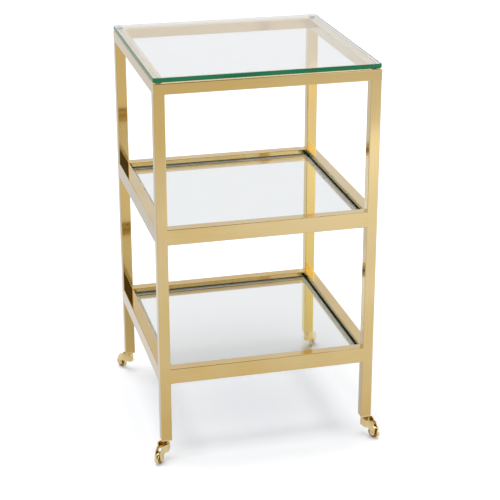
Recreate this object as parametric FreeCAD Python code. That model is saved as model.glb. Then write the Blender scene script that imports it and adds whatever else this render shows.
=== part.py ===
import FreeCAD, Part

import math
import os

from FreeCAD import Rotation, Vector

# Three-tier square bar cart on swivel casters, in millimetres.
# +Z is up, the floor is z = 0, the origin is on the floor under the middle of the frame,
# -Y is the front and +X is the right.

# Frame
CART_WIDTH = 410.0
CART_DEPTH = 410.0
FRAME_TOP = 728.0            # top face of the upper ring of rails
TUBE = 20.0                  # side of the square tube of posts and top rails
TUBE_WALL = 1.5
TUBE_CORNER = 1.5            # outside corner radius of every tube
TUBE_INNER_CORNER = 0.4      # least corner radius of a tube's bore
SHELF_RAIL_HEIGHT = 30.0     # the shelf rails are taller than the posts are wide
MIDDLE_SHELF_TOP = 462.0     # top face of the middle shelf's rails
LOWER_SHELF_TOP = 189.0      # top face of the lower shelf's rails

# Glass and what it lies on
TOP_GLASS = 8.0              # thickness of the pane on top
SHELF_GLASS = 6.0            # thickness of the two inset panes
GLASS_ARRIS = 0.8            # ground bevel along every edge of a pane
TOP_GLASS_CORNER = 5.0
SHELF_GLASS_CORNER = 3.0
SHELF_GLASS_GAP = 1.5        # between an inset pane and the rails around it
SHELF_GLASS_RECESS = 10.0    # from the rails' top face down to an inset pane
BUMPER_DIAMETER = 12.0
BUMPER_HEIGHT = 2.0
BUMPER_INSET = 11.0          # from the frame's outside faces to a bumper's middle
LEDGE_WIDTH = 10.0           # how far a ledge stands in from its rail
LEDGE_THICKNESS = 3.0
STRIP_THICKNESS = 1.0        # vinyl strip between ledge and pane
STRIP_MARGIN = 1.0           # bare ledge on both sides of the strip

# Leg plug and swivel stem
CASTER_HEIGHT = 42.0         # floor to the underside of a leg plug
PLUG_FLANGE = 2.0
PLUG_DEPTH = 25.0            # how far a plug reaches up into its post
PLUG_CLEARANCE = 0.1         # between a plug's body and the tube around it
PLUG_CORNER = 1.0            # corner radius of a plug's body
STEM_RADIUS = 4.0
STEM_DEPTH = 20.0            # how far a stem is pressed into its plug
STEM_COLLAR_RADIUS = 6.5
STEM_COLLAR_HEIGHT = 2.0
STEM_HEAD_RADIUS = 5.2
STEM_HEAD_HEIGHT = 2.1
WASHER_THICKNESS = 0.8
RUNNING_CLEARANCE = 0.05     # radial, between a shaft and the bore that turns on it
TURNING_GAP = 0.3            # between faces that turn past each other
OVERRUN = 1.0                # how far a cutting tool starts outside what it cuts

# Fork
BARREL_RADIUS = 7.5
BARREL_BOTTOM = 21.0
BARREL_ROUNDING = 1.2
BARREL_GROOVE = 0.9          # depth of the neck groove under the barrel's top bead
BEAD_HEIGHT = 2.4
FORK_WIDTH = 13.6            # over both arms, beside the wheel
CROWN_WIDTH = 23.0           # over both arms where they swell out
CROWN_START = 6.5            # from the swivel axis to where the arms reach that width
CROWN_END = 12.0             # and to where they begin to close in again
HUB_START = 19.0             # and to where they run straight beside the wheel
ROOT_SHARE = 0.86            # half width of the arms at the swivel axis, as a share of the barrel's radius
PLAN_BEND = 5.0              # radius of the arms' bends, seen from above
ARM_THICKNESS = 2.6
ARM_ROUNDING = 0.6           # of the arms' edges
HUB_RADIUS = 5.6             # round end of an arm at the axle
ARCH_START = 9.0             # where the arms' top edge starts to fall
UNDER_ARCH_RADIUS = 7.0      # hollow of the arms' lower edge
HEAD_POCKET_GAP = 0.4        # around the stem's head in the barrel's counterbore
HEAD_POCKET_LIP = 1.0        # from the barrel's lower end up to the stem's head

# Wheel and axle
TRAIL = 24.0                 # swivel axis to axle
WHEEL_RADIUS = 12.5
WHEEL_WIDTH = 7.4
TREAD_SHOULDER = 1.9         # how far the tread falls from its crown to the side faces
RIM_WIDTH = 1.8
WEB_RECESS = 0.9
WHEEL_HUB_RADIUS = 4.4
AXLE_RADIUS = 2.0
RIVET_RADIUS = 3.1
RIVET_HEIGHT = 0.7
RIVET_FLAT = 0.45            # a rivet head's flat top, as a share of its radius
RIVET_BEND = (0.83, 0.72)    # a point on its rounded side, as shares of its radius and height

# The way each fork trails at rest, anticlockwise from +X
TRAIL_ANGLE = {"front_left": 226.0, "front_right": 305.0, "back_right": 46.0, "back_left": 125.0}

# Worked out from the sizes above
TUBE_BORE = TUBE - 2 * TUBE_WALL
POST_BOTTOM = CASTER_HEIGHT + PLUG_FLANGE
POST_TOP = FRAME_TOP - TUBE
SHELF_TOPS = {"middle": MIDDLE_SHELF_TOP, "lower": LOWER_SHELF_TOP}
SIDES = {"front": 0.0, "right": 90.0, "back": 180.0, "left": 270.0}
CORNERS = {"front_left": (-1, -1), "front_right": (1, -1), "back_right": (1, 1), "back_left": (-1, 1)}
FORK_TOP = CASTER_HEIGHT - STEM_COLLAR_HEIGHT - WASHER_THICKNESS - TURNING_GAP
POCKET_TOP = BARREL_BOTTOM + HEAD_POCKET_LIP + STEM_HEAD_HEIGHT + TURNING_GAP
SAME = 1e-6                  # lengths that differ by less are the same


def box(x_low, x_high, y_low, y_high, z_low, z_high):
    """An upright block between two corners."""
    return Part.makeBox(x_high - x_low, y_high - y_low, z_high - z_low, Vector(x_low, y_low, z_low))


def bar(length, width, height, corner):
    """A bar along X, centred on the origin, with its four long edges rounded."""
    block = box(-length / 2, length / 2, -width / 2, width / 2, -height / 2, height / 2)
    long_edges = [edge for edge in block.Edges if abs(edge.Length - length) < SAME
                  and abs(edge.tangentAt(edge.FirstParameter).x) > 0.99]
    return block.makeFillet(corner, long_edges)


def tube(length, width, height):
    """A rectangular tube along X, centred on the origin, open at both ends."""
    inner_corner = max(TUBE_CORNER - TUBE_WALL, TUBE_INNER_CORNER)
    bore = bar(length + 2 * OVERRUN, width - 2 * TUBE_WALL, height - 2 * TUBE_WALL, inner_corner)
    return bar(length, width, height, TUBE_CORNER).cut(bore)


def upright(shape):
    """Turn a shape that runs along X so that it runs along Z."""
    shape.rotate(Vector(0, 0, 0), Vector(0, 1, 0), -90)
    return shape


def revolve(points, axis=Vector(0, 0, 1)):
    """A full turn about an axis through the origin of a closed outline of points and arcs.

    A point is (radius, along the axis). An arc is (radius, along, "via"): the next point ends it.
    """
    across = Vector(1, 0, 0)
    places = [(across * point[0] + axis * point[1], len(point) == 3) for point in points]
    edges = []
    index = 0
    while index < len(places):
        start = places[index][0]
        after, is_via = places[(index + 1) % len(places)]
        if is_via:
            end = places[(index + 2) % len(places)][0]
            edges.append(Part.Arc(start, after, end).toShape())
            index += 2
        else:
            edges.append(Part.LineSegment(start, after).toShape())
            index += 1
    return Part.Face(Part.Wire(edges)).revolve(Vector(0, 0, 0), axis, 360)


def half_span(side):
    """From the frame's middle to the outside face of one side."""
    return (CART_DEPTH if side in ("front", "back") else CART_WIDTH) / 2


def side_length(side):
    """The frame's outside length along one side."""
    return CART_WIDTH if side in ("front", "back") else CART_DEPTH


def on_side(shape, side):
    """Turn a piece that was made for the front, running along X, to its own side."""
    shape.rotate(Vector(0, 0, 0), Vector(0, 0, 1), SIDES[side])
    return shape


def leg_middle(corner):
    """The middle of one post, which is also its caster's swivel axis."""
    x_sign, y_sign = CORNERS[corner]
    return Vector(x_sign * (CART_WIDTH - TUBE) / 2, y_sign * (CART_DEPTH - TUBE) / 2, 0)


def post(corner):
    """A square tube from the leg plug's flange to the underside of the top ring."""
    length = POST_TOP - POST_BOTTOM
    shape = upright(tube(length, TUBE, TUBE))
    shape.translate(leg_middle(corner) + Vector(0, 0, POST_BOTTOM + length / 2))
    return shape


def top_rail(side):
    """A square tube of the top ring, mitred at both ends."""
    length = side_length(side)
    reach = half_span(side)
    rail = tube(length, TUBE, TUBE)
    rail.translate(Vector(0, TUBE / 2 - reach, FRAME_TOP - TUBE / 2))
    outline = [Vector(-length / 2, -reach, 0), Vector(length / 2, -reach, 0),
               Vector(length / 2 - TUBE, TUBE - reach, 0), Vector(TUBE - length / 2, TUBE - reach, 0)]
    mitre = Part.Face(Part.makePolygon(outline + outline[:1])).extrude(Vector(0, 0, TUBE))
    mitre.translate(Vector(0, 0, FRAME_TOP - TUBE))
    return on_side(rail.common(mitre), side)


def shelf_rail(side, shelf_top):
    """A rectangular tube between two posts, flush with them inside and out."""
    rail = tube(side_length(side) - 2 * TUBE, TUBE, SHELF_RAIL_HEIGHT)
    rail.translate(Vector(0, TUBE / 2 - half_span(side), shelf_top - SHELF_RAIL_HEIGHT / 2))
    return on_side(rail, side)


def ledge_ends(side):
    """How much a ledge is cut short at both ends: the front and back ones run right across."""
    return 0.0 if side in ("front", "back") else LEDGE_WIDTH


def ledge(side, shelf_top):
    """A flat strip on a rail's inside face, under the inset pane."""
    half_length = side_length(side) / 2 - TUBE - ledge_ends(side)
    y_low = TUBE - half_span(side)
    z_high = shelf_top - SHELF_GLASS_RECESS - SHELF_GLASS - STRIP_THICKNESS
    strip = box(-half_length, half_length, y_low, y_low + LEDGE_WIDTH, z_high - LEDGE_THICKNESS, z_high)
    return on_side(strip, side)


def cushion_strips(shelf_top):
    """The four clear vinyl strips between one shelf's ledges and its pane."""
    z_low = shelf_top - SHELF_GLASS_RECESS - SHELF_GLASS - STRIP_THICKNESS
    strips = []
    for side in SIDES:
        half_length = side_length(side) / 2 - TUBE - ledge_ends(side) - STRIP_MARGIN
        y_low = TUBE - half_span(side) + STRIP_MARGIN
        y_high = y_low + LEDGE_WIDTH - 2 * STRIP_MARGIN
        strip = box(-half_length, half_length, y_low, y_high, z_low, z_low + STRIP_THICKNESS)
        strips.append(on_side(strip, side))
    return Part.makeCompound(strips)


def pane(width, depth, thickness, corner, z_low):
    """A sheet of glass with rounded corners and a ground bevel along its edges."""
    sheet = box(-width / 2, width / 2, -depth / 2, depth / 2, z_low, z_low + thickness)
    upright_edges = [edge for edge in sheet.Edges if abs(edge.tangentAt(edge.FirstParameter).z) > 0.99]
    sheet = sheet.makeFillet(corner, upright_edges)
    level_edges = [edge for edge in sheet.Edges if edge.BoundBox.ZLength < SAME]
    return sheet.makeChamfer(GLASS_ARRIS, level_edges)


def shelf_pane(shelf_top):
    """A pane inset between a shelf's rails."""
    margin = 2 * (TUBE + SHELF_GLASS_GAP)
    z_low = shelf_top - SHELF_GLASS_RECESS - SHELF_GLASS
    return pane(CART_WIDTH - margin, CART_DEPTH - margin, SHELF_GLASS, SHELF_GLASS_CORNER, z_low)


def top_bumpers():
    """Four clear discs on the top ring's corners, which the top pane lies on."""
    discs = []
    for x_sign, y_sign in CORNERS.values():
        x_middle = x_sign * (CART_WIDTH / 2 - BUMPER_INSET)
        y_middle = y_sign * (CART_DEPTH / 2 - BUMPER_INSET)
        discs.append(Part.makeCylinder(BUMPER_DIAMETER / 2, BUMPER_HEIGHT,
                                       Vector(x_middle, y_middle, FRAME_TOP)))
    return Part.makeCompound(discs)


def leg_plug():
    """A cap on the end of a post, with a body inside the tube and a bore for the stem."""
    body_size = TUBE_BORE - 2 * PLUG_CLEARANCE
    body = upright(bar(PLUG_DEPTH, body_size, body_size, PLUG_CORNER))
    body.translate(Vector(0, 0, POST_BOTTOM + PLUG_DEPTH / 2))
    flange = upright(bar(PLUG_FLANGE, TUBE, TUBE, TUBE_CORNER))
    flange.translate(Vector(0, 0, POST_BOTTOM - PLUG_FLANGE / 2))
    bore = Part.makeCylinder(STEM_RADIUS, PLUG_FLANGE + STEM_DEPTH, Vector(0, 0, CASTER_HEIGHT))
    return body.fuse(flange).removeSplitter().cut(bore)


def stem():
    """The fixed pin that the fork swivels on, with a collar on top and a riveted head below."""
    top = CASTER_HEIGHT + STEM_DEPTH
    collar_low = CASTER_HEIGHT - STEM_COLLAR_HEIGHT
    head_low = POCKET_TOP - TURNING_GAP - STEM_HEAD_HEIGHT
    head_high = POCKET_TOP - TURNING_GAP
    return revolve([(0, head_low), (STEM_HEAD_RADIUS, head_low), (STEM_HEAD_RADIUS, head_high),
                    (STEM_RADIUS, head_high), (STEM_RADIUS, collar_low), (STEM_COLLAR_RADIUS, collar_low),
                    (STEM_COLLAR_RADIUS, CASTER_HEIGHT), (STEM_RADIUS, CASTER_HEIGHT), (STEM_RADIUS, top),
                    (0, top)])


def washer():
    """The thrust washer between the stem's collar and the fork's barrel."""
    z_high = CASTER_HEIGHT - STEM_COLLAR_HEIGHT
    z_low = z_high - WASHER_THICKNESS
    ring = Part.makeCylinder(STEM_COLLAR_RADIUS, WASHER_THICKNESS, Vector(0, 0, z_low))
    hole = Part.makeCylinder(STEM_RADIUS + RUNNING_CLEARANCE, WASHER_THICKNESS, Vector(0, 0, z_low))
    return ring.cut(hole)


def barrel():
    """The fork's upright boss around the stem, with a bead and a neck groove at its top."""
    bead_low = FORK_TOP - BEAD_HEIGHT
    groove_low = bead_low - BEAD_HEIGHT
    softening = BARREL_ROUNDING * (1 - math.sqrt(0.5))
    return revolve([(0, BARREL_BOTTOM), (BARREL_RADIUS - BARREL_ROUNDING, BARREL_BOTTOM),
                    (BARREL_RADIUS - softening, BARREL_BOTTOM + softening, "via"),
                    (BARREL_RADIUS, BARREL_BOTTOM + BARREL_ROUNDING), (BARREL_RADIUS, groove_low),
                    (BARREL_RADIUS - BARREL_GROOVE, (groove_low + bead_low) / 2, "via"),
                    (BARREL_RADIUS - BARREL_GROOVE / 2, bead_low),
                    (BARREL_RADIUS, (bead_low + FORK_TOP) / 2, "via"),
                    (BARREL_RADIUS - BARREL_GROOVE, FORK_TOP), (0, FORK_TOP)])


def tangent_radius(run, rise):
    """Radius of an arc that starts level, this far above and behind the axle, and ends on the hub's round."""
    return (run ** 2 + rise ** 2 - HUB_RADIUS ** 2) / (2 * (rise - HUB_RADIUS))


def polar(middle, radius, turn):
    """The point of a circle in the XZ plane at an angle in radians from +X."""
    return middle + Vector(math.cos(turn), 0, math.sin(turn)) * radius


def fork_side():
    """The arms seen from the side: an arch from the barrel over to the axle, as one wide block."""
    hub = Vector(TRAIL, 0, WHEEL_RADIUS)
    top = FORK_TOP - BEAD_HEIGHT / 2
    arch_radius = tangent_radius(TRAIL - ARCH_START, top - WHEEL_RADIUS)
    arch_middle = Vector(ARCH_START, 0, top - arch_radius)
    arch_end = math.atan2(hub.z - arch_middle.z, hub.x - arch_middle.x)
    under = BARREL_BOTTOM + BARREL_ROUNDING
    drop = under - hub.z
    run = math.sqrt((HUB_RADIUS + drop) * (2 * UNDER_ARCH_RADIUS + HUB_RADIUS - drop))
    under_middle = Vector(TRAIL - run, 0, under - UNDER_ARCH_RADIUS)
    under_end = math.atan2(hub.z - under_middle.z, hub.x - under_middle.x)
    hub_turn = (arch_end + under_end - math.pi) / 2
    arch_half = (math.pi / 2 + arch_end) / 2
    under_half = (math.pi / 2 + under_end) / 2
    edges = [Part.LineSegment(Vector(0, 0, top), Vector(ARCH_START, 0, top)).toShape(),
             Part.Arc(Vector(ARCH_START, 0, top), polar(arch_middle, arch_radius, arch_half),
                      polar(hub, HUB_RADIUS, arch_end)).toShape(),
             Part.Arc(polar(hub, HUB_RADIUS, arch_end), polar(hub, HUB_RADIUS, hub_turn),
                      polar(hub, -HUB_RADIUS, under_end)).toShape(),
             Part.Arc(polar(hub, -HUB_RADIUS, under_end), polar(under_middle, UNDER_ARCH_RADIUS, under_half),
                      Vector(under_middle.x, 0, under)).toShape(),
             Part.LineSegment(Vector(under_middle.x, 0, under), Vector(0, 0, under)).toShape(),
             Part.LineSegment(Vector(0, 0, under), Vector(0, 0, top)).toShape()]
    block = Part.Face(Part.Wire(edges)).extrude(Vector(0, 2 * CROWN_WIDTH, 0))
    block.translate(Vector(0, -CROWN_WIDTH, 0))
    return block


def fork_plan(inset, x_start):
    """The arms seen from above: they swell out past the barrel and close in beside the wheel.

    The inset makes the smaller plan between the arms, which starts a little further back.
    """
    crown = CROWN_WIDTH / 2 - inset
    hub = FORK_WIDTH / 2 - inset
    x_end = 2 * TRAIL
    near = [Vector(x_start, BARREL_RADIUS * ROOT_SHARE - inset, 0), Vector(CROWN_START, crown, 0),
            Vector(CROWN_END, crown, 0), Vector(HUB_START, hub, 0), Vector(x_end, hub, 0)]
    far = [Vector(point.x, -point.y, 0) for point in reversed(near)]
    block = Part.Face(Part.makePolygon(near + far + near[:1])).extrude(Vector(0, 0, CASTER_HEIGHT))
    upright_edges = [edge for edge in block.Edges if edge.BoundBox.ZLength > SAME]
    bends = [edge for edge in upright_edges if x_start < edge.BoundBox.XMin < x_end - OVERRUN]
    return block.makeFillet(PLAN_BEND, bends)


def fork():
    """One casting: the barrel, and two arms that pass the wheel on both sides."""
    arms = fork_side().common(fork_plan(0, -OVERRUN)).cut(fork_plan(ARM_THICKNESS, -2 * OVERRUN))
    casting = barrel()
    for arm in arms.Solids:
        free_edges = [edge for edge in arm.Edges if edge.BoundBox.XMin > OVERRUN]
        casting = casting.fuse(arm.makeFillet(ARM_ROUNDING, free_edges))
    casting = casting.removeSplitter()
    stem_bore = Part.makeCylinder(STEM_RADIUS + RUNNING_CLEARANCE, CASTER_HEIGHT)
    head_pocket = Part.makeCylinder(STEM_HEAD_RADIUS + HEAD_POCKET_GAP, POCKET_TOP)
    axle_bore = Part.makeCylinder(AXLE_RADIUS, 2 * FORK_WIDTH, Vector(TRAIL, -FORK_WIDTH, WHEEL_RADIUS),
                                  Vector(0, 1, 0))
    return casting.cut(stem_bore).cut(head_pocket).cut(axle_bore)


def wheel():
    """A solid brass wheel with a crowned tread, a recessed web and a hub."""
    half = WHEEL_WIDTH / 2
    shoulder = WHEEL_RADIUS - TREAD_SHOULDER
    rim = shoulder - RIM_WIDTH
    hub_half = FORK_WIDTH / 2 - ARM_THICKNESS - TURNING_GAP
    bore = AXLE_RADIUS + RUNNING_CLEARANCE
    web = half - WEB_RECESS
    shape = revolve([(bore, -hub_half), (WHEEL_HUB_RADIUS, -hub_half), (WHEEL_HUB_RADIUS, -web), (rim, -web),
                     (rim, -half), (shoulder, -half), (WHEEL_RADIUS, 0, "via"), (shoulder, half),
                     (rim, half), (rim, web), (WHEEL_HUB_RADIUS, web), (WHEEL_HUB_RADIUS, hub_half),
                     (bore, hub_half)], Vector(0, 1, 0))
    shape.translate(Vector(TRAIL, 0, WHEEL_RADIUS))
    return shape


def axle():
    """A rivet pressed through both arms, with a low rounded head outside each."""
    half = FORK_WIDTH / 2
    tip = half + RIVET_HEIGHT
    flat = RIVET_RADIUS * RIVET_FLAT
    bend_radius = RIVET_RADIUS * RIVET_BEND[0]
    bend_along = half + RIVET_HEIGHT * RIVET_BEND[1]
    shape = revolve([(0, -tip), (flat, -tip), (bend_radius, -bend_along, "via"), (RIVET_RADIUS, -half),
                     (AXLE_RADIUS, -half), (AXLE_RADIUS, half), (RIVET_RADIUS, half),
                     (bend_radius, bend_along, "via"), (flat, tip), (0, tip)], Vector(0, 1, 0))
    shape.translate(Vector(TRAIL, 0, WHEEL_RADIUS))
    return shape


def at_corner(shape, corner):
    """Turn a caster's piece to the way its fork trails and put it under its leg."""
    shape.rotate(Vector(0, 0, 0), Vector(0, 0, 1), TRAIL_ANGLE[corner])
    shape.translate(leg_middle(corner))
    return shape


def under_leg(shape, corner):
    """Put a piece that doesn't swivel under its leg."""
    shape.translate(leg_middle(corner))
    return shape


def build():
    """Every piece of the cart, by node name."""
    nodes = {}
    for corner in CORNERS:
        nodes["post_" + corner] = post(corner)
    for side in SIDES:
        nodes["top_rail_" + side] = top_rail(side)
    for shelf, shelf_top in SHELF_TOPS.items():
        for side in SIDES:
            nodes[f"{shelf}_rail_{side}"] = shelf_rail(side, shelf_top)
            nodes[f"{shelf}_ledge_{side}"] = ledge(side, shelf_top)
        nodes[shelf + "_cushion_strips"] = cushion_strips(shelf_top)
        nodes[shelf + "_glass"] = shelf_pane(shelf_top)
    nodes["top_bumpers"] = top_bumpers()
    nodes["top_glass"] = pane(CART_WIDTH, CART_DEPTH, TOP_GLASS, TOP_GLASS_CORNER, FRAME_TOP + BUMPER_HEIGHT)
    for corner in CORNERS:
        nodes["leg_plug_" + corner] = under_leg(leg_plug(), corner)
        nodes["swivel_stem_" + corner] = under_leg(stem(), corner)
        nodes["swivel_washer_" + corner] = under_leg(washer(), corner)
        nodes["fork_" + corner] = at_corner(fork(), corner)
        nodes["axle_" + corner] = at_corner(axle(), corner)
        nodes["wheel_" + corner] = at_corner(wheel(), corner)
    return nodes


os.makedirs("parts", exist_ok=True)
for name, shape in build().items():
    if not shape.isValid() or min(solid.Volume for solid in shape.Solids) <= 0:
        raise ValueError(name + " is not a sound solid")
    shape.exportStep(f"parts/{name}.step")
    print(name, len(shape.Solids), round(shape.Volume, 1))
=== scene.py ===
"""The looks of a square brass bar cart on casters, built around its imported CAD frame."""

import math

import bmesh
import bpy
from mathutils import Matrix, Vector


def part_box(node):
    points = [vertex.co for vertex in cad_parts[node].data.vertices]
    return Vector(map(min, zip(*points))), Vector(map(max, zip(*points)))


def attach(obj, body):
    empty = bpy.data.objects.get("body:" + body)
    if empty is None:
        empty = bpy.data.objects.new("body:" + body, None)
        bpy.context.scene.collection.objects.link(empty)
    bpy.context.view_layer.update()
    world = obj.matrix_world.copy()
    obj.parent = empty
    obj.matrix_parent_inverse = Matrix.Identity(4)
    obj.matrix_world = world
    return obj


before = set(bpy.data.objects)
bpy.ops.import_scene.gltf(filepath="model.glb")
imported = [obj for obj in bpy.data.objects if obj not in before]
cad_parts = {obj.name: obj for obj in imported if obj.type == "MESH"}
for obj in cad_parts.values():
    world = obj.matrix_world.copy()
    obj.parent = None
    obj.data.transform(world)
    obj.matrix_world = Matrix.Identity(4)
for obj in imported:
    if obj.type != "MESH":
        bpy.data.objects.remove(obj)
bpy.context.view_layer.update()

bl_info = {
    "name": "Brass bar cart",
    "version": (1, 0, 0),
    "blender": (4, 5, 0),
    "location": "3D View > Sidebar > Bar cart",
    "description": "Polished brass, glass panes and casters for a three-tier bar cart",
    "category": "Object",
}

CORNERS = ("front_left", "front_right", "back_right", "back_left")
SIDES = ("front", "right", "back", "left")
SHELVES = ("middle", "lower")
TUBE_EDGE = 0.0015              # radius of the tubes' long edges
# Painted pools of light on the floor that only the brass mirrors, the last one a painted shade: across, ahead,
# half width, half depth, strength.
POOLS = ((0.85, -2.05, 0.45, 0.75, 0.40), (0.52, -0.92, 0.22, 0.30, 0.08), (-0.40, 1.00, 0.60, 0.90, -0.14))


# ---------------------------------------------------------------- shader tools


class Signal:
    """A number that varies over a surface. Python maths on it adds Math nodes."""

    def __init__(self, shader, socket):
        self.shader = shader
        self.socket = socket

    def maths(self, operation, *values):
        return self.shader.maths(operation, self, *values)

    def __add__(self, other):
        return self.maths("ADD", other)

    def __radd__(self, other):
        return self.shader.maths("ADD", other, self)

    def __sub__(self, other):
        return self.maths("SUBTRACT", other)

    def __rsub__(self, other):
        return self.shader.maths("SUBTRACT", other, self)

    def __mul__(self, other):
        return self.maths("MULTIPLY", other)

    def __rmul__(self, other):
        return self.shader.maths("MULTIPLY", other, self)

    def __truediv__(self, other):
        return self.maths("DIVIDE", other)

    def __rtruediv__(self, other):
        return self.shader.maths("DIVIDE", other, self)

    def __pow__(self, other):
        return self.maths("POWER", other)

    def __gt__(self, other):
        return self.maths("GREATER_THAN", other)

    def __lt__(self, other):
        return self.maths("LESS_THAN", other)

    def __abs__(self):
        return self.maths("ABSOLUTE")

    def larger(self, other):
        return self.maths("MAXIMUM", other)

    def clamped(self):
        return self.shader.add("ShaderNodeClamp", {}, Value=self)["Result"]


class Outputs:
    """The outputs of one node, by name or by number."""

    def __init__(self, shader, node):
        self.shader = shader
        self.node = node

    def __getitem__(self, key):
        return Signal(self.shader, self.node.outputs[key])


class Shader:
    """The node tree of one material or of the world."""

    def __init__(self, owner):
        owner.use_nodes = True
        self.tree = owner.node_tree
        self.tree.nodes.clear()

    def add(self, kind, settings=None, **sockets):
        """A node of this kind: its settings first, then a value or a link for each named socket.

        A socket's spaces are written as underscores, and _1 or _2 stands for a socket's number.
        """
        node = self.tree.nodes.new(kind)
        for name, value in (settings or {}).items():
            if name == "stops":
                set_ramp(node.color_ramp, value)
            else:
                setattr(node, name, value)
        for name, value in sockets.items():
            plain = name.replace("_", " ").strip()
            socket = node.inputs[int(plain)] if plain.isdigit() else node.inputs[plain]
            if isinstance(value, Signal):
                self.tree.links.new(value.socket, socket)
            else:
                socket.default_value = value
        return Outputs(self, node)

    def maths(self, operation, *values):
        sockets = {f"_{number}": value for number, value in enumerate(values)}
        return self.add("ShaderNodeMath", {"operation": operation}, **sockets)["Value"]

    def place(self):
        """Where a point of the surface is, in metres, in its own body's frame."""
        return self.add("ShaderNodeTexCoord")["Object"]

    def parts(self, vector):
        """The three numbers of a vector."""
        split = self.add("ShaderNodeSeparateXYZ", Vector=vector)
        return split["X"], split["Y"], split["Z"]

    def vector_maths(self, operation, first, second):
        return self.add("ShaderNodeVectorMath", {"operation": operation}, _0=first, _1=second)

    def stretched(self, vector, scale):
        """A vector scaled differently along X, Y and Z."""
        return self.vector_maths("MULTIPLY", vector, scale)["Vector"]

    def noise(self, vector, scale, detail=2.0, roughness=0.5):
        """Soft noise from 0 to 1, with this many lumps in a metre."""
        return self.add("ShaderNodeTexNoise", {}, Vector=vector, Scale=scale, Detail=detail,
                        Roughness=roughness)["Fac"]

    def blend(self, share, first, second):
        """A colour between two, by a share from 0 to 1."""
        settings = {"data_type": "RGBA"}
        return self.add("ShaderNodeMix", settings, _0=share, _6=first, _7=second)[2]

    def bump(self, height):
        """A normal tilted by a height in metres."""
        return self.add("ShaderNodeBump", {}, Strength=1.0, Distance=1.0, Height=height)["Normal"]

    def watching(self):
        """Shares of 1 for what the camera sees straight, what it sees through glass, what metal mirrors,
        and what a dull surface receives through glass."""
        path = self.add("ShaderNodeLightPath")
        direct = path["Diffuse Depth"] < 0.5
        through = path["Is Transmission Ray"]
        mirrored = path["Is Glossy Ray"] * direct * (1 - through)
        return path["Is Camera Ray"], through * direct, mirrored, through * (1 - direct)

    def surface(self, shader):
        self.add("ShaderNodeOutputMaterial", {}, Surface=shader)


def set_ramp(ramp, stops):
    """Gives a colour ramp these (place, grey or colour) stops."""
    while len(ramp.elements) < len(stops):
        ramp.elements.new(0.5)
    for element, (place, value) in zip(ramp.elements, stops):
        element.position = place
        element.color = (value, value, value, 1) if isinstance(value, (int, float)) else value


# ------------------------------------------------------------------ properties


class BrassFinish(bpy.types.PropertyGroup):
    """The polished and lacquered brass of the tubes."""

    # Paler brass: in random patches, and where painted light makes it paler: towards the right, near mid height
    # and away from the back.
    colour: bpy.props.FloatVectorProperty(
        name="Brass", description="Colour of the brass where it is clean",
        subtype="COLOR", size=3, min=0, max=1, default=(0.785, 0.600, 0.290))
    # Warmer, darker brass: in random patches, and as painted shade to the left, away from mid height and at the
    # back.
    shade: bpy.props.FloatVectorProperty(
        name="Warm brass", description="Colour of the brass in its warmer patches",
        subtype="COLOR", size=3, min=0, max=1, default=(0.710, 0.480, 0.150))
    # Painted highlight: this brighter brass is painted at the back right, below 0.54 m.
    painted_highlight_brass: bpy.props.FloatVectorProperty(
        name="Bright brass", description="Colour of the brass at the back right, where it is brightest",
        subtype="COLOR", size=3, min=0, max=1, default=(0.92, 0.685, 0.200))
    polish: bpy.props.FloatProperty(
        name="Haze", description="Roughness of the polished surface", subtype="FACTOR",
        min=0, max=1, default=0.08)
    wave: bpy.props.FloatProperty(
        name="Wave", description="Height of the slow unevenness left by polishing", unit="LENGTH",
        min=0, default=0.00003, precision=6)
    grain: bpy.props.FloatProperty(
        name="Grain", description="Height of the fine lines along a tube", unit="LENGTH",
        min=0, default=0.000004, precision=6)


class GlassFinish(bpy.types.PropertyGroup):
    """The panes."""

    tint: bpy.props.FloatVectorProperty(
        name="Tint", description="Colour that a pane gives to what is seen through it",
        subtype="COLOR", size=3, min=0, max=1, default=(0.960, 0.978, 0.992))
    edge: bpy.props.FloatVectorProperty(
        name="Edge", description="Colour of a pane's polished edge seen from outside",
        subtype="COLOR", size=3, min=0, max=1, default=(0.017, 0.270, 0.100))
    # Also painted on the arris as painted shade.
    edge_deep: bpy.props.FloatVectorProperty(
        name="Deep edge", description="Colour of the darker streaks in the edge",
        subtype="COLOR", size=3, min=0, max=1, default=(0.006, 0.130, 0.055))
    index: bpy.props.FloatProperty(
        name="Refraction", description="Refractive index of the glass", min=1, max=2, default=1.5)


class VinylFinish(bpy.types.PropertyGroup):
    """The clear bumpers and strips under the panes."""

    colour: bpy.props.FloatVectorProperty(
        name="Vinyl", description="Colour of the clear vinyl", subtype="COLOR", size=3,
        min=0, max=1, default=(0.90, 0.93, 0.89))
    inner: bpy.props.FloatVectorProperty(
        name="Inner vinyl", description="Colour of the vinyl near a ledge's free edge", subtype="COLOR",
        size=3, min=0, max=1, default=(1.0, 0.93, 0.78))
    turn: bpy.props.FloatProperty(
        name="Turn", description="Distance from the cart's middle where one colour gives way to the other",
        unit="LENGTH", min=0, default=0.1805, precision=4)
    haze: bpy.props.FloatProperty(
        name="Haze", description="Roughness of the vinyl", subtype="FACTOR", min=0, max=1, default=0.20)


class CasterFinish(bpy.types.PropertyGroup):
    """The cast brass of the casters."""

    colour: bpy.props.FloatVectorProperty(
        name="Cast brass", description="Colour of the casters' brass", subtype="COLOR", size=3,
        min=0, max=1, default=(0.95, 0.76, 0.38))
    shade: bpy.props.FloatVectorProperty(
        name="Deep brass", description="Colour of the brass in its darker patches", subtype="COLOR",
        size=3, min=0, max=1, default=(0.82, 0.58, 0.21))
    # Painted shade: this dark colour is painted inside the fork arms and on the wheel webs.
    painted_shade: bpy.props.FloatVectorProperty(
        name="Hollows", description="Colour of the brass where less light reaches it", subtype="COLOR",
        size=3, min=0, max=1, default=(0.30, 0.16, 0.035))
    polish: bpy.props.FloatProperty(
        name="Haze", description="Roughness of the polished casting", subtype="FACTOR",
        min=0, max=1, default=0.045)
    steel: bpy.props.FloatVectorProperty(
        name="Steel", description="Colour of the thrust washers", subtype="COLOR", size=3,
        min=0, max=1, default=(0.60, 0.59, 0.56))


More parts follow.
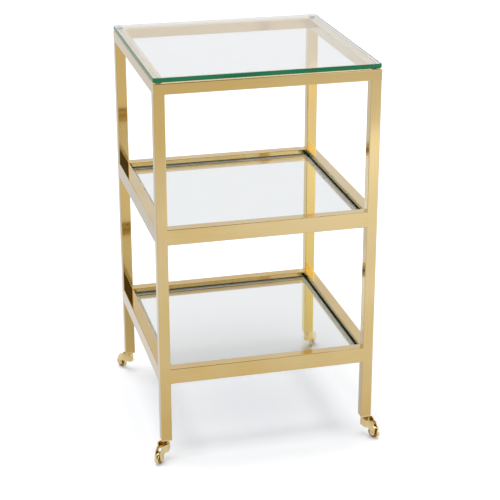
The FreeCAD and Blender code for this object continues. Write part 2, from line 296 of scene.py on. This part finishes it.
class StudioSetup(bpy.types.PropertyGroup):
    """The floor, the lamps and the camera."""

    floor: bpy.props.FloatProperty(
        name="Floor", description="Brightness of the floor's paper", subtype="FACTOR",
        min=0, max=1, default=0.86)
    ambient: bpy.props.FloatProperty(
        name="Ambient", description="Strength of the even light from all round", min=0, default=0.36)
    overhead: bpy.props.FloatProperty(
        name="Overhead", description="Strength of the soft lamp above the cart", min=0, default=2.6)
    spread: bpy.props.FloatProperty(
        name="Spread", description="How wide the lamp above looks from the cart", subtype="ANGLE",
        min=0, max=math.pi, default=math.radians(50))
    room: bpy.props.FloatProperty(
        name="Room", description="Brightness of the walls that metal and glass mirror", min=0, default=0.74)
    lens: bpy.props.FloatProperty(
        name="Lens", description="Focal length of the camera in millimetres", min=1, default=107)
    place: bpy.props.FloatVectorProperty(
        name="Camera", description="Where the camera stands", subtype="TRANSLATION", unit="LENGTH",
        size=3, default=(-0.650, -2.614, 1.394))
    aim: bpy.props.FloatVectorProperty(
        name="Aim", description="The point in the middle of the picture", subtype="TRANSLATION",
        unit="LENGTH", size=3, default=(0.017, 0.0, 0.326))


# ------------------------------------------------------------------- materials


def solid(colour):
    """A colour socket's four numbers."""
    return (*colour, 1.0)


def new_shader(name):
    material = bpy.data.materials.new(name)
    return material, Shader(material)


def brass_material(name, finish, lengthways):
    """Polished, lacquered brass with faint lines along one axis of the piece, and painted shade and painted
    highlight by where it is on the cart.
    """
    material, shader = new_shader(name)
    place = shader.place()
    across = 900.0
    along = 14.0
    scale = [along if axis == lengthways else across for axis in "XYZ"]
    lines = shader.noise(shader.stretched(place, scale), 1.0, detail=3.0)
    clouds = shader.noise(place, 7.0, detail=3.0)
    ripple = shader.noise(place, 30.0, detail=1.0)
    x, y, z = shader.parts(place)
    # Painted shade: height and back say where the brass is painted darker, away from mid height (0.42 m) and at
    # the back.
    height = (z - 0.42) / 0.34
    back = ((y - 0.10) * 10.0).clamped()
    # Painted highlight: the back right, below 0.54 m, takes the brighter brass instead of the warmer one.
    painted_highlight_share = back * ((x - 0.17) * 100.0).clamped() * ((0.54 - z) * 10.0).clamped()
    colour = shader.blend(painted_highlight_share, solid(finish.shade), solid(finish.painted_highlight_brass))
    # Painted shade and painted highlight: besides the random clouds and lines, x, height and back paint the brass
    # paler towards the right and darker away from mid height and at the back.
    share = ((clouds - 0.5) * 1.8 + (lines - 0.5) * 0.8 + 0.85 + x - height * height * 0.9 - back * 0.7).clamped()
    roughness = (lines - 0.5) * 0.07 + (clouds - 0.5) * 0.06 + finish.polish
    shader.surface(shader.add(
        "ShaderNodeBsdfPrincipled", {}, Base_Color=shader.blend(share, colour, solid(finish.colour)),
        Metallic=1.0, Roughness=roughness.clamped(), Coat_Weight=1.0, Coat_Roughness=0.04, Coat_IOR=1.5,
        Normal=shader.bump(ripple * finish.wave + lines * finish.grain))["BSDF"])
    return material


def cast_brass_material(name, finish, painted_shade=None):
    """Tumbled and polished cast brass, with a slight orange-peel and painted shade in its hollows.

    The last argument takes the shader and a point's place, and gives a share: 1 in a hollow, where shade is
    painted, and 0 outside.
    """
    material, shader = new_shader(name)
    place = shader.place()
    clouds = shader.noise(place, 60.0, detail=3.0)
    peel = shader.noise(place, 240.0, detail=2.0)
    share = ((clouds - 0.5) * 2.4 + 0.65).clamped()
    colour = shader.blend(share, solid(finish.shade), solid(finish.colour))
    if painted_shade:
        # Painted shade in the hollows.
        colour = shader.blend(painted_shade(shader, place), colour, solid(finish.painted_shade))
    roughness = (peel - 0.5) * 0.04 + (clouds - 0.5) * 0.04 + finish.polish
    shader.surface(shader.add(
        "ShaderNodeBsdfPrincipled", {}, Base_Color=colour,
        Metallic=1.0, Roughness=roughness.clamped(), Coat_Weight=1.0, Coat_Roughness=0.03, Coat_IOR=1.5,
        Normal=shader.bump(peel * 0.000016))["BSDF"])
    return material


class CasterPlace:
    """Where one caster's wheel and fork are, for the painted shade in their hollows."""

    def __init__(self, corner):
        low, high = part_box("wheel_" + corner)
        stem_low, stem_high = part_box("swivel_stem_" + corner)
        self.axle = (Vector(low) + Vector(high)) / 2
        self.swivel = (Vector(stem_low) + Vector(stem_high)) / 2
        trail = self.axle - self.swivel
        self.trail = Vector((trail.x, trail.y, 0.0)).normalized()
        self.across = Vector((-self.trail.y, self.trail.x, 0.0))

    def offsets(self, shader, place, node, origin):
        """How far a point is from a place in the frame: along the axle, and along the trail."""
        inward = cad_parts[node].matrix_world.inverted()
        turned = inward.to_3x3()
        gap = shader.vector_maths("SUBTRACT", place, inward @ origin)["Vector"]
        dots = [shader.vector_maths("DOT_PRODUCT", gap, turned @ axis)["Value"]
                for axis in (self.across, self.trail, Vector((0.0, 0.0, 1.0)))]
        return dots

    def painted_fork_shade(self, shader, place, node):
        """1 on the insides of the arms, which swell out before they reach the wheel: where shade is painted."""
        across, along, _ = self.offsets(shader, place, node, self.swivel)
        swell = (1 - abs(along - 0.0095) / 0.0065).clamped()
        inside = ((swell * 0.0045 + 0.0044 - abs(across)) * 3000.0).clamped()
        return inside * ((along - 0.0055) * 3000.0).clamped()

    def painted_wheel_shade(self, shader, place, node):
        """1 on the webs, between the hub and the rim: where shade is painted."""
        _, along, up = self.offsets(shader, place, node, self.axle)
        radius = (along * along + up * up) ** 0.5
        return ((0.0030 - abs(radius - 0.0075)) * 3000.0).clamped()


def steel_material(name, finish):
    """Plain steel with turning marks."""
    material, shader = new_shader(name)
    marks = shader.noise(shader.stretched(shader.place(), (150.0, 150.0, 4000.0)), 1.0, detail=2.0)
    shader.surface(shader.add(
        "ShaderNodeBsdfPrincipled", {}, Base_Color=shader.blend(marks, solid([c * 0.8 for c in finish.steel]),
                                                                solid(finish.steel)),
        Metallic=1.0, Roughness=(marks * 0.2 + 0.2), Normal=shader.bump(marks * 0.000004))["BSDF"])
    return material


def glass_material(name, finish, edge_along):
    """Clear glass that lets lamps through, with the deep green of its polished edges."""
    material, shader = new_shader(name)
    place = shader.place()
    smudges = shader.noise(place, 11.0, detail=4.0)
    tint = shader.blend((smudges * 0.5).clamped(), solid(finish.tint), solid([c * 0.992 for c in finish.tint]))
    clear = shader.add("ShaderNodeBsdfPrincipled", {}, Base_Color=tint, Roughness=0.0, IOR=finish.index,
                       Transmission_Weight=1.0)["BSDF"]
    streaks = shader.noise(shader.stretched(place, edge_along), 1.0, detail=3.0)
    facing = shader.add("ShaderNodeNewGeometry")
    level = abs(shader.parts(facing["Normal"])[2])
    # Painted shade: the arris is painted a darker green.
    painted_arris_shade = (level > 0.3) * 0.75
    share = ((streaks - 0.5) * 2.0 + 0.6 - painted_arris_shade).clamped()
    edge = shader.add("ShaderNodeBsdfPrincipled", {}, Base_Color=shader.blend(share, solid(finish.edge_deep),
                                                                              solid(finish.edge)),
                      Roughness=0.08, IOR=finish.index, Specular_IOR_Level=0.25)["BSDF"]
    is_edge = (level < 0.9) * (1 - facing["Backfacing"])
    pane = shader.add("ShaderNodeMixShader", {}, _0=is_edge, _1=clear, _2=edge)["Shader"]
    passing = shader.add("ShaderNodeBsdfTransparent", {}, Color=(0.915, 0.925, 0.935, 1.0))["BSDF"]
    lamp_ray = shader.add("ShaderNodeLightPath")["Is Shadow Ray"]
    shader.surface(shader.add("ShaderNodeMixShader", {}, _0=lamp_ray, _1=pane, _2=passing)["Shader"])
    return material


def vinyl_material(name, finish, clarity):
    """Soft clear vinyl, a little cloudy. A strip looks grey under a pane's edge and pale further in."""
    material, shader = new_shader(name)
    place = shader.place()
    clouds = shader.noise(place, 60.0, detail=2.0)
    x, y, _ = shader.parts(place)
    outer = ((abs(x).larger(abs(y)) - finish.turn) * 900.0).clamped()
    tone = shader.blend(clouds, solid([c * 0.9 for c in finish.colour]), solid(finish.colour))
    grey = shader.blend(outer, solid(finish.inner), tone)
    shader.surface(shader.add(
        "ShaderNodeBsdfPrincipled", {}, Base_Color=grey,
        Roughness=(clouds - 0.5) * 0.1 + finish.haze, IOR=1.50, Transmission_Weight=clarity,
        Normal=shader.bump(clouds * 0.000006))["BSDF"])
    return material


def coat(node, material):
    """Gives a carried-over node its finish."""
    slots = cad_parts[node].material_slots
    if not slots:
        raise ValueError(node + " has no material slot")
    for slot in slots:
        slot.material = material


# ---------------------------------------------------------------------- pieces


def add_prism(mesh, turn, triangle, along):
    """Adds a solid with three corners at one end, stretched along a vector."""
    ends = [[mesh.verts.new(turn @ (Vector(point) + shift)) for point in triangle]
            for shift in (Vector(), Vector(along))]
    mesh.faces.new(reversed(ends[0]))
    mesh.faces.new(ends[1])
    for here in range(3):
        there = (here + 1) % 3
        mesh.faces.new((ends[0][here], ends[0][there], ends[1][there], ends[1][here]))


def make_ground_welds(material):
    """Fills the grooves beside the tubes' round edges where a rail meets a post, flush with both."""
    low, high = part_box("post_front_left")
    outside, tube, edge = low[0], high[0] - low[0], TUBE_EDGE
    mesh = bmesh.new()
    for quarter in range(4):
        turn = Matrix.Rotation(quarter * math.pi / 2, 4, "Z")
        for shelf in SHELVES:
            bottom, top = (corner[2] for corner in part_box(shelf + "_rail_front"))
            for end in (1, -1):
                joint = (outside + tube) * end
                triangle = [(joint, outside, bottom + edge), (joint - edge * end, outside, bottom + edge),
                            (joint, outside + edge, bottom + edge)]
                add_prism(mesh, turn, triangle, (0.0, 0.0, top - bottom - 2 * edge))
        for end in (1, -1):
            triangle = [((outside + edge) * end, outside, high[2]),
                        ((outside + edge) * end, outside, high[2] + edge),
                        ((outside + edge) * end, outside + edge, high[2])]
            add_prism(mesh, turn, triangle, ((tube - 2 * edge) * end, 0.0, 0.0))
    bmesh.ops.recalc_face_normals(mesh, faces=mesh.faces)
    data = bpy.data.meshes.new("ground_welds")
    mesh.to_mesh(data)
    mesh.free()
    data.materials.append(material)
    welds = bpy.data.objects.new("ground_welds", data)
    bpy.context.scene.collection.objects.link(welds)
    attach(welds, "cart_frame")


# ------------------------------------------------------------------- operators


class BARCART_OT_brass_tubes(bpy.types.Operator):
    """Finishes the posts, the rails and the ledges"""

    bl_idname = "barcart.brass_tubes"
    bl_label = "Brass tubes"

    def execute(self, context):
        finish = context.scene.barcart_brass
        by_axis = {axis: brass_material("brass_along_" + axis.lower(), finish, axis) for axis in "XYZ"}
        for corner in CORNERS:
            coat("post_" + corner, by_axis["Z"])
        for side in SIDES:
            material = by_axis["X" if side in ("front", "back") else "Y"]
            coat("top_rail_" + side, material)
            for shelf in SHELVES:
                coat(f"{shelf}_rail_{side}", material)
                coat(f"{shelf}_ledge_{side}", material)
        make_ground_welds(by_axis["Z"])
        return {"FINISHED"}


class BARCART_OT_glass_panes(bpy.types.Operator):
    """Finishes the top pane and the two inset panes"""

    bl_idname = "barcart.glass_panes"
    bl_label = "Glass panes"

    def execute(self, context):
        finish = context.scene.barcart_glass
        material = glass_material("clear_glass", finish, (9.0, 9.0, 300.0))
        coat("top_glass", material)
        for shelf in SHELVES:
            coat(shelf + "_glass", material)
        return {"FINISHED"}


class BARCART_OT_vinyl_cushions(bpy.types.Operator):
    """Finishes the clear bumpers and strips that the panes lie on"""

    bl_idname = "barcart.vinyl_cushions"
    bl_label = "Vinyl cushions"

    def execute(self, context):
        finish = context.scene.barcart_vinyl
        coat("top_bumpers", vinyl_material("clear_vinyl", finish, 0.40))
        strips = vinyl_material("cloudy_vinyl", finish, 0.62)
        for shelf in SHELVES:
            coat(shelf + "_cushion_strips", strips)
        return {"FINISHED"}


class BARCART_OT_casters(bpy.types.Operator):
    """Finishes the leg plugs and the casters"""

    bl_idname = "barcart.casters"
    bl_label = "Casters"

    def execute(self, context):
        finish = context.scene.barcart_casters
        brass = cast_brass_material("cast_brass", finish)
        steel = steel_material("washer_steel", finish)
        for corner in CORNERS:
            where = CasterPlace(corner)
            for piece in ("leg_plug_", "swivel_stem_", "axle_"):
                coat(piece + corner, brass)
            # Forks and wheels get painted shade in their hollows.
            for piece, painted_shade in (("fork_", where.painted_fork_shade), ("wheel_", where.painted_wheel_shade)):
                node = piece + corner
                coat(node, cast_brass_material(
                    node + "_brass", finish, lambda shader, place: painted_shade(shader, place, node)))
            coat("swivel_washer_" + corner, steel)
        return {"FINISHED"}


class BARCART_OT_studio(bpy.types.Operator):
    """Makes the floor, the lamps, the world and the camera"""

    bl_idname = "barcart.studio"
    bl_label = "Studio"

    def execute(self, context):
        setup = context.scene.barcart_studio
        make_floor(setup)
        make_world(setup)
        make_lamp(setup)
        make_camera(setup)
        return {"FINISHED"}


def make_floor(setup):
    """A wide sheet of white paper, which shows as pure white where no shadow falls.

    Metal mirrors it painted darker, with painted pools of light in front of the cart's right side, a painted
    shade behind its left and more painted shade far ahead and to the left; glass shows it painted a little
    darker.
    """
    mesh = bmesh.new()
    bmesh.ops.create_grid(mesh, x_segments=8, y_segments=8, size=14.0)
    data = bpy.data.meshes.new("floor")
    mesh.to_mesh(data)
    mesh.free()
    floor = bpy.data.objects.new("floor", data)
    bpy.context.scene.collection.objects.link(floor)
    material, shader = new_shader("floor_paper")
    straight, through, mirrored, _ = shader.watching()
    place = shader.place()
    x, y, _ = shader.parts(place)
    # Painted pools of light and shade, which glow for metal only.
    pools = 0
    for across, ahead, wide, deep, strength in POOLS:
        away = ((x - across) / wide) ** 2.0 + ((y - ahead) / deep) ** 2.0
        cut = (((y - ahead) + (x - across) * 0.7 + 0.10) * 30.0).clamped() * 0.75 + 0.25
        pools = strength / (away + 1) * cut + pools
    # Painted shade in what metal mirrors: darker far ahead and to the left.
    painted_far_shade = ((-1.9 - y) * 0.5).clamped() * 0.10 + ((-0.4 - x) * 2.0).clamped() * 0.06
    pools = pools + 0.34 - painted_far_shade
    glow = shader.add("ShaderNodeCombineColor", {}, Red=pools, Green=pools, Blue=pools)["Color"]
    lift = shader.blend(straight, (0, 0, 0, 1), (0.285, 0.293, 0.312, 1))
    lift = shader.blend(mirrored, lift, glow)
    fibre = shader.noise(place, 30.0, detail=4.0)
    paper = shader.blend(fibre, solid([setup.floor * 0.995] * 3), solid([setup.floor] * 3))
    # Painted shade: metal mirrors the paper darker, and glass shows it a little darker.
    colour = shader.blend(mirrored, paper, solid([setup.floor * 0.42] * 3))
    colour = shader.blend(through, colour, solid([setup.floor * 0.88] * 3))
    shader.surface(shader.add("ShaderNodeBsdfPrincipled", {}, Base_Color=colour, Roughness=0.9,
                              Specular_IOR_Level=0.0, Emission_Color=lift, Emission_Strength=1.0)["BSDF"])
    data.materials.append(material)


def make_world(setup):
    """Even light all round, and plain white wherever the camera sees past the floor.

    Metal and glass mirror a pale room with a soft lamp overhead.
    """
    world = bpy.data.worlds.new("studio")
    bpy.context.scene.world = world
    shader = Shader(world)
    straight, through, mirrored, counted = shader.watching()
    x, y, z = shader.parts(shader.add("ShaderNodeTexCoord")["Generated"])
    side = x * 0.10 + ((0.32 - z) * 8.0).clamped() * 0.12
    lamp = ((z - 0.90) * 20.0).clamped()
    front = ((0.15 - y) * 2.5).clamped() * (z > 0.0) * ((x + 0.75) * 6.0).clamped()
    window = ((x - 0.22) * 12.0).clamped() * ((0.50 - z) * 10.0).clamped() * front
    shade = front - window
    level = (side + setup.room) * (1 - shade * 0.87) + lamp * 1.3 + window * 1.0
    room = shader.add("ShaderNodeCombineColor", {}, Red=level, Green=level, Blue=level)["Color"]
    even = [setup.ambient * share for share in (0.95, 0.975, 1.0)]
    colour = shader.blend(counted, shader.blend(mirrored, solid(even), room), (0.0, 0.0, 0.0, 1.0))
    colour = shader.blend((straight + through).clamped(), colour, (1.0, 1.0, 1.0, 1.0))
    light = shader.add("ShaderNodeBackground", {}, Color=colour, Strength=1.0)["Background"]
    shader.add("ShaderNodeOutputWorld", {}, Surface=light)


def make_lamp(setup):
    """A wide soft lamp high above the cart. Metal mirrors the room's lamp instead of this one."""
    data = bpy.data.lights.new("overhead_lamp", "SUN")
    data.energy = setup.overhead
    data.angle = setup.spread
    lamp = bpy.data.objects.new("overhead_lamp", data)
    bpy.context.scene.collection.objects.link(lamp)
    lamp.rotation_euler = (math.radians(-3.0), math.radians(-2.0), 0.0)
    lamp.visible_glossy = False
    lamp.visible_transmission = False
    return lamp


def make_camera(setup):
    data = bpy.data.cameras.new("camera")
    data.lens = setup.lens
    camera = bpy.data.objects.new("camera", data)
    bpy.context.scene.collection.objects.link(camera)
    camera.location = setup.place
    camera.rotation_euler = (Vector(setup.aim) - Vector(setup.place)).to_track_quat("-Z", "Y").to_euler()
    bpy.context.scene.camera = camera
    bpy.context.scene.view_settings.view_transform = "Standard"


class BARCART_PT_sidebar(bpy.types.Panel):
    """Lists the cart's pieces and their finishes"""

    bl_idname = "BARCART_PT_sidebar"
    bl_label = "Bar cart"
    bl_space_type = "VIEW_3D"
    bl_region_type = "UI"
    bl_category = "Bar cart"

    def draw(self, context):
        for operator, group in STEPS:
            box = self.layout.box()
            box.operator(operator.bl_idname)
            settings = getattr(context.scene, group)
            for name in settings.__annotations__:
                box.prop(settings, name)


GROUPS = {
    "barcart_brass": BrassFinish,
    "barcart_glass": GlassFinish,
    "barcart_vinyl": VinylFinish,
    "barcart_casters": CasterFinish,
    "barcart_studio": StudioSetup,
}
STEPS = (
    (BARCART_OT_brass_tubes, "barcart_brass"),
    (BARCART_OT_glass_panes, "barcart_glass"),
    (BARCART_OT_vinyl_cushions, "barcart_vinyl"),
    (BARCART_OT_casters, "barcart_casters"),
    (BARCART_OT_studio, "barcart_studio"),
)


def register():
    for name, group in GROUPS.items():
        bpy.utils.register_class(group)
        setattr(bpy.types.Scene, name, bpy.props.PointerProperty(type=group))
    for operator, _ in STEPS:
        bpy.utils.register_class(operator)
    bpy.utils.register_class(BARCART_PT_sidebar)


def unregister():
    bpy.utils.unregister_class(BARCART_PT_sidebar)
    for operator, _ in reversed(STEPS):
        bpy.utils.unregister_class(operator)
    for name, group in reversed(GROUPS.items()):
        delattr(bpy.types.Scene, name)
        bpy.utils.unregister_class(group)


def main():
    """Runs every step in order."""
    register()
    for operator, _ in STEPS:
        area, name = operator.bl_idname.split(".")
        getattr(getattr(bpy.ops, area), name)()


if __name__ == "__main__":
    main()
